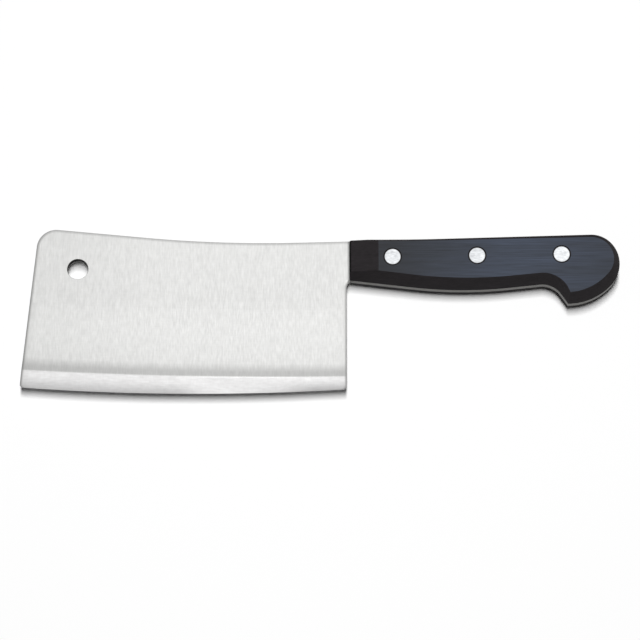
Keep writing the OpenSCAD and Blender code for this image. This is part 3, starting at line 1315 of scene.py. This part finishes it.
        # Both ends fall as the ground part's do, so that the two close without a seam
        falls[0] = falls[-1] = self.end_fall
        self.break_over.roll(mesh, path, loop, mitres, widths, falls, self.half)
        bmesh.ops.remove_doubles(mesh, verts=mesh.verts, dist=2 * NEAR)
        rings = self.holes(mesh)
        boundary = [edge for edge in mesh.edges if edge.is_boundary or edge.is_wire]
        flat = [edge for edge in boundary if all(abs(vert.co.z - self.half) < SAME for vert in edge.verts)]
        bmesh.ops.triangle_fill(mesh, use_beauty=True, edges=flat, normal=UP)
        for ring, place, radius, soft in rings:
            middle = soft * self.BREAK_MIDDLE
            sink(mesh, ring, place, [(radius + middle, self.half - middle), (radius, self.half - soft),
                                     (radius, 0.0)])
        rim = [edge for edge in mesh.edges
               if edge.is_boundary and any(vert.co.z > NEAR for vert in edge.verts)]
        verts, _ = pull(mesh, rim)
        for vert in verts:
            vert.co.z = 0.0
        return mesh

    def holes(self, mesh: BMesh) -> list[tuple[list[BMEdge], Vector, float, float]]:
        """Marks the hanging hole and the rivet holes on the left side.

        Args:
            mesh: The bmesh of the left half.

        Returns:
            The circle, the place, the radius and the broken edge of each hole.
        """
        barrel = self.rivets.barrel_d / 2 + self.rivets.barrel_gap
        wanted = [(self.hole, self.hole_d / 2, self.hole_break)]
        wanted += [(place, barrel, self.rivet_hole_break) for place in self.rivets.places().values()]
        return [(ring_of_edges(mesh, place, radius + soft, self.half), place, radius, soft)
                for place, radius, soft in wanted]

    def build(self, origin: Vector) -> Object:
        """Makes the blade with its tang.

        Args:
            origin: Place of the plan's origin in the frame, in metres.

        Returns:
            The piece.
        """
        mesh = self.side()
        bmesh.ops.mirror(mesh, geom=mesh.verts[:] + mesh.edges[:] + mesh.faces[:], matrix=Matrix(),
                         merge_dist=NEAR, axis="Z")
        bmesh.ops.remove_doubles(mesh, verts=mesh.verts, dist=SAME)
        bmesh.ops.recalc_face_normals(mesh, faces=mesh.faces)
        finishes = (self.satin, self.stoned, self.dressed, self.tang_shade, self.hole_shade)
        for face in mesh.faces:
            spot = face.calc_center_median()
            if spot.x < 0 and spot.y < self.ridge_y(spot.x):
                finish = self.stoned
            elif abs(face.normal.z) >= self.RIM_LEAN:
                finish = self.satin
            # The wall of the hanging hole takes painted shade
            elif (spot.xy - self.hole).length < self.hole_d:
                finish = self.hole_shade
            else:
                # The tang's rim takes painted shade; the blade's rim takes the dressed steel
                finish = self.tang_shade if spot.x > 0 else self.dressed
            face.material_index = finishes.index(finish)
        return Piece("blade_and_tang", "blade", Slot.STEEL, finishes, sharp=35.0).lay(mesh, origin)


@dataclass
class Studio:
    """Paper floor, a level rectangular lamp overhead and the camera of the photograph."""

    lens: float = 170.0
    elevation: float = 74.0
    distance: float = 1394.76
    target: tuple[float, float, float] = (-13.6985, -37.4191, 0.0)
    sensor: float = 36.0
    # Nearest and farthest that the camera sees, in metres
    sight: tuple[float, float] = (0.05, 20.0)
    floor_reach: float = 3000.0
    # The floor lies this far under the cleaver, so that the two don't fight for the same place
    floor_gap: float = 0.05
    room: str = "3c3c3c"
    paper: Finish = PaperSweep()
    # The lamp's place in the frame and its size, in metres
    lamp_place: tuple[float, float, float] = (0.0, 0.11, 2.4)
    lamp_size: tuple[float, float] = (0.24, 1.12)
    lamp_brightness: float = 70.7

    def lay_floor(self) -> None:
        """Rolls out the paper."""
        mesh = bmesh.new()
        bmesh.ops.create_grid(mesh, x_segments=4, y_segments=4, size=self.floor_reach * MM)
        bmesh.ops.translate(mesh, vec=UP * (-self.floor_gap * MM), verts=mesh.verts)
        data = bpy.data.meshes.new("paper_floor")
        mesh.to_mesh(data)
        mesh.free()
        data.materials.append(self.paper.material())
        floor = add_object("paper_floor", data)

    def hang_lamp(self) -> None:
        """Hangs the lamp and lights the room a little."""
        lamp = bpy.data.lights.new("overhead_softbox", "AREA")
        lamp.shape = "RECTANGLE"
        lamp.size, lamp.size_y = self.lamp_size
        lamp.energy = self.lamp_brightness * math.pi * lamp.size * lamp.size_y
        hung = add_object("overhead_softbox", lamp)
        hung.location = self.lamp_place
        hung.visible_camera = False
        world = bpy.data.worlds.new("room")
        world.use_nodes = True
        world.node_tree.nodes.clear()
        room = add_node(world.node_tree, "Background", Color=linear(self.room), Strength=1.0)
        add_node(world.node_tree, "OutputWorld", Surface=room.outputs[0])
        bpy.context.scene.world = world

    def build(self, origin: Vector) -> None:
        """Sets up the floor, the light and the camera.

        Args:
            origin: Place of the plan's origin in the frame, in metres.
        """
        self.lay_floor()
        self.hang_lamp()
        lens = bpy.data.cameras.new("camera")
        lens.lens = self.lens
        lens.sensor_width = self.sensor
        lens.clip_start, lens.clip_end = self.sight
        camera = add_object("camera", lens)
        lean = math.radians(self.elevation)
        back = Vector((0, -math.cos(lean), math.sin(lean)))
        camera.location = origin + (Vector(self.target) + back * self.distance) * MM
        camera.rotation_euler = (-back).to_track_quat("-Z", "Y").to_euler()
        bpy.context.scene.camera = camera
        bpy.context.scene.view_settings.view_transform = "Standard"


def main() -> None:
    """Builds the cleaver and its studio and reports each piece."""
    logging.basicConfig(level=logging.INFO, format="%(name)s: %(message)s")
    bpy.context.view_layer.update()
    outline, rivets = HandleOutline(), RivetRow()
    steel = Steel(outline, rivets)
    blade_low, blade_high = (Vector(corner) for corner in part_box("blade"))
    origin = Vector((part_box("left_scale")[0][0], blade_low.y + steel.blade_depth * MM,
                     (blade_low.z + blade_high.z) / 2))
    scale = Scale(outline, rivets, steel.half)
    pieces = [steel.build(origin)]
    pieces += [scale.build(side, origin) for side in Side]
    pieces += rivets.build(steel.half + scale.thickness, origin)
    for piece in pieces:
        log.info("%s: %d faces", piece.name, len(piece.data.polygons))
    Studio().build(origin)


if __name__ == "__main__":
    main()
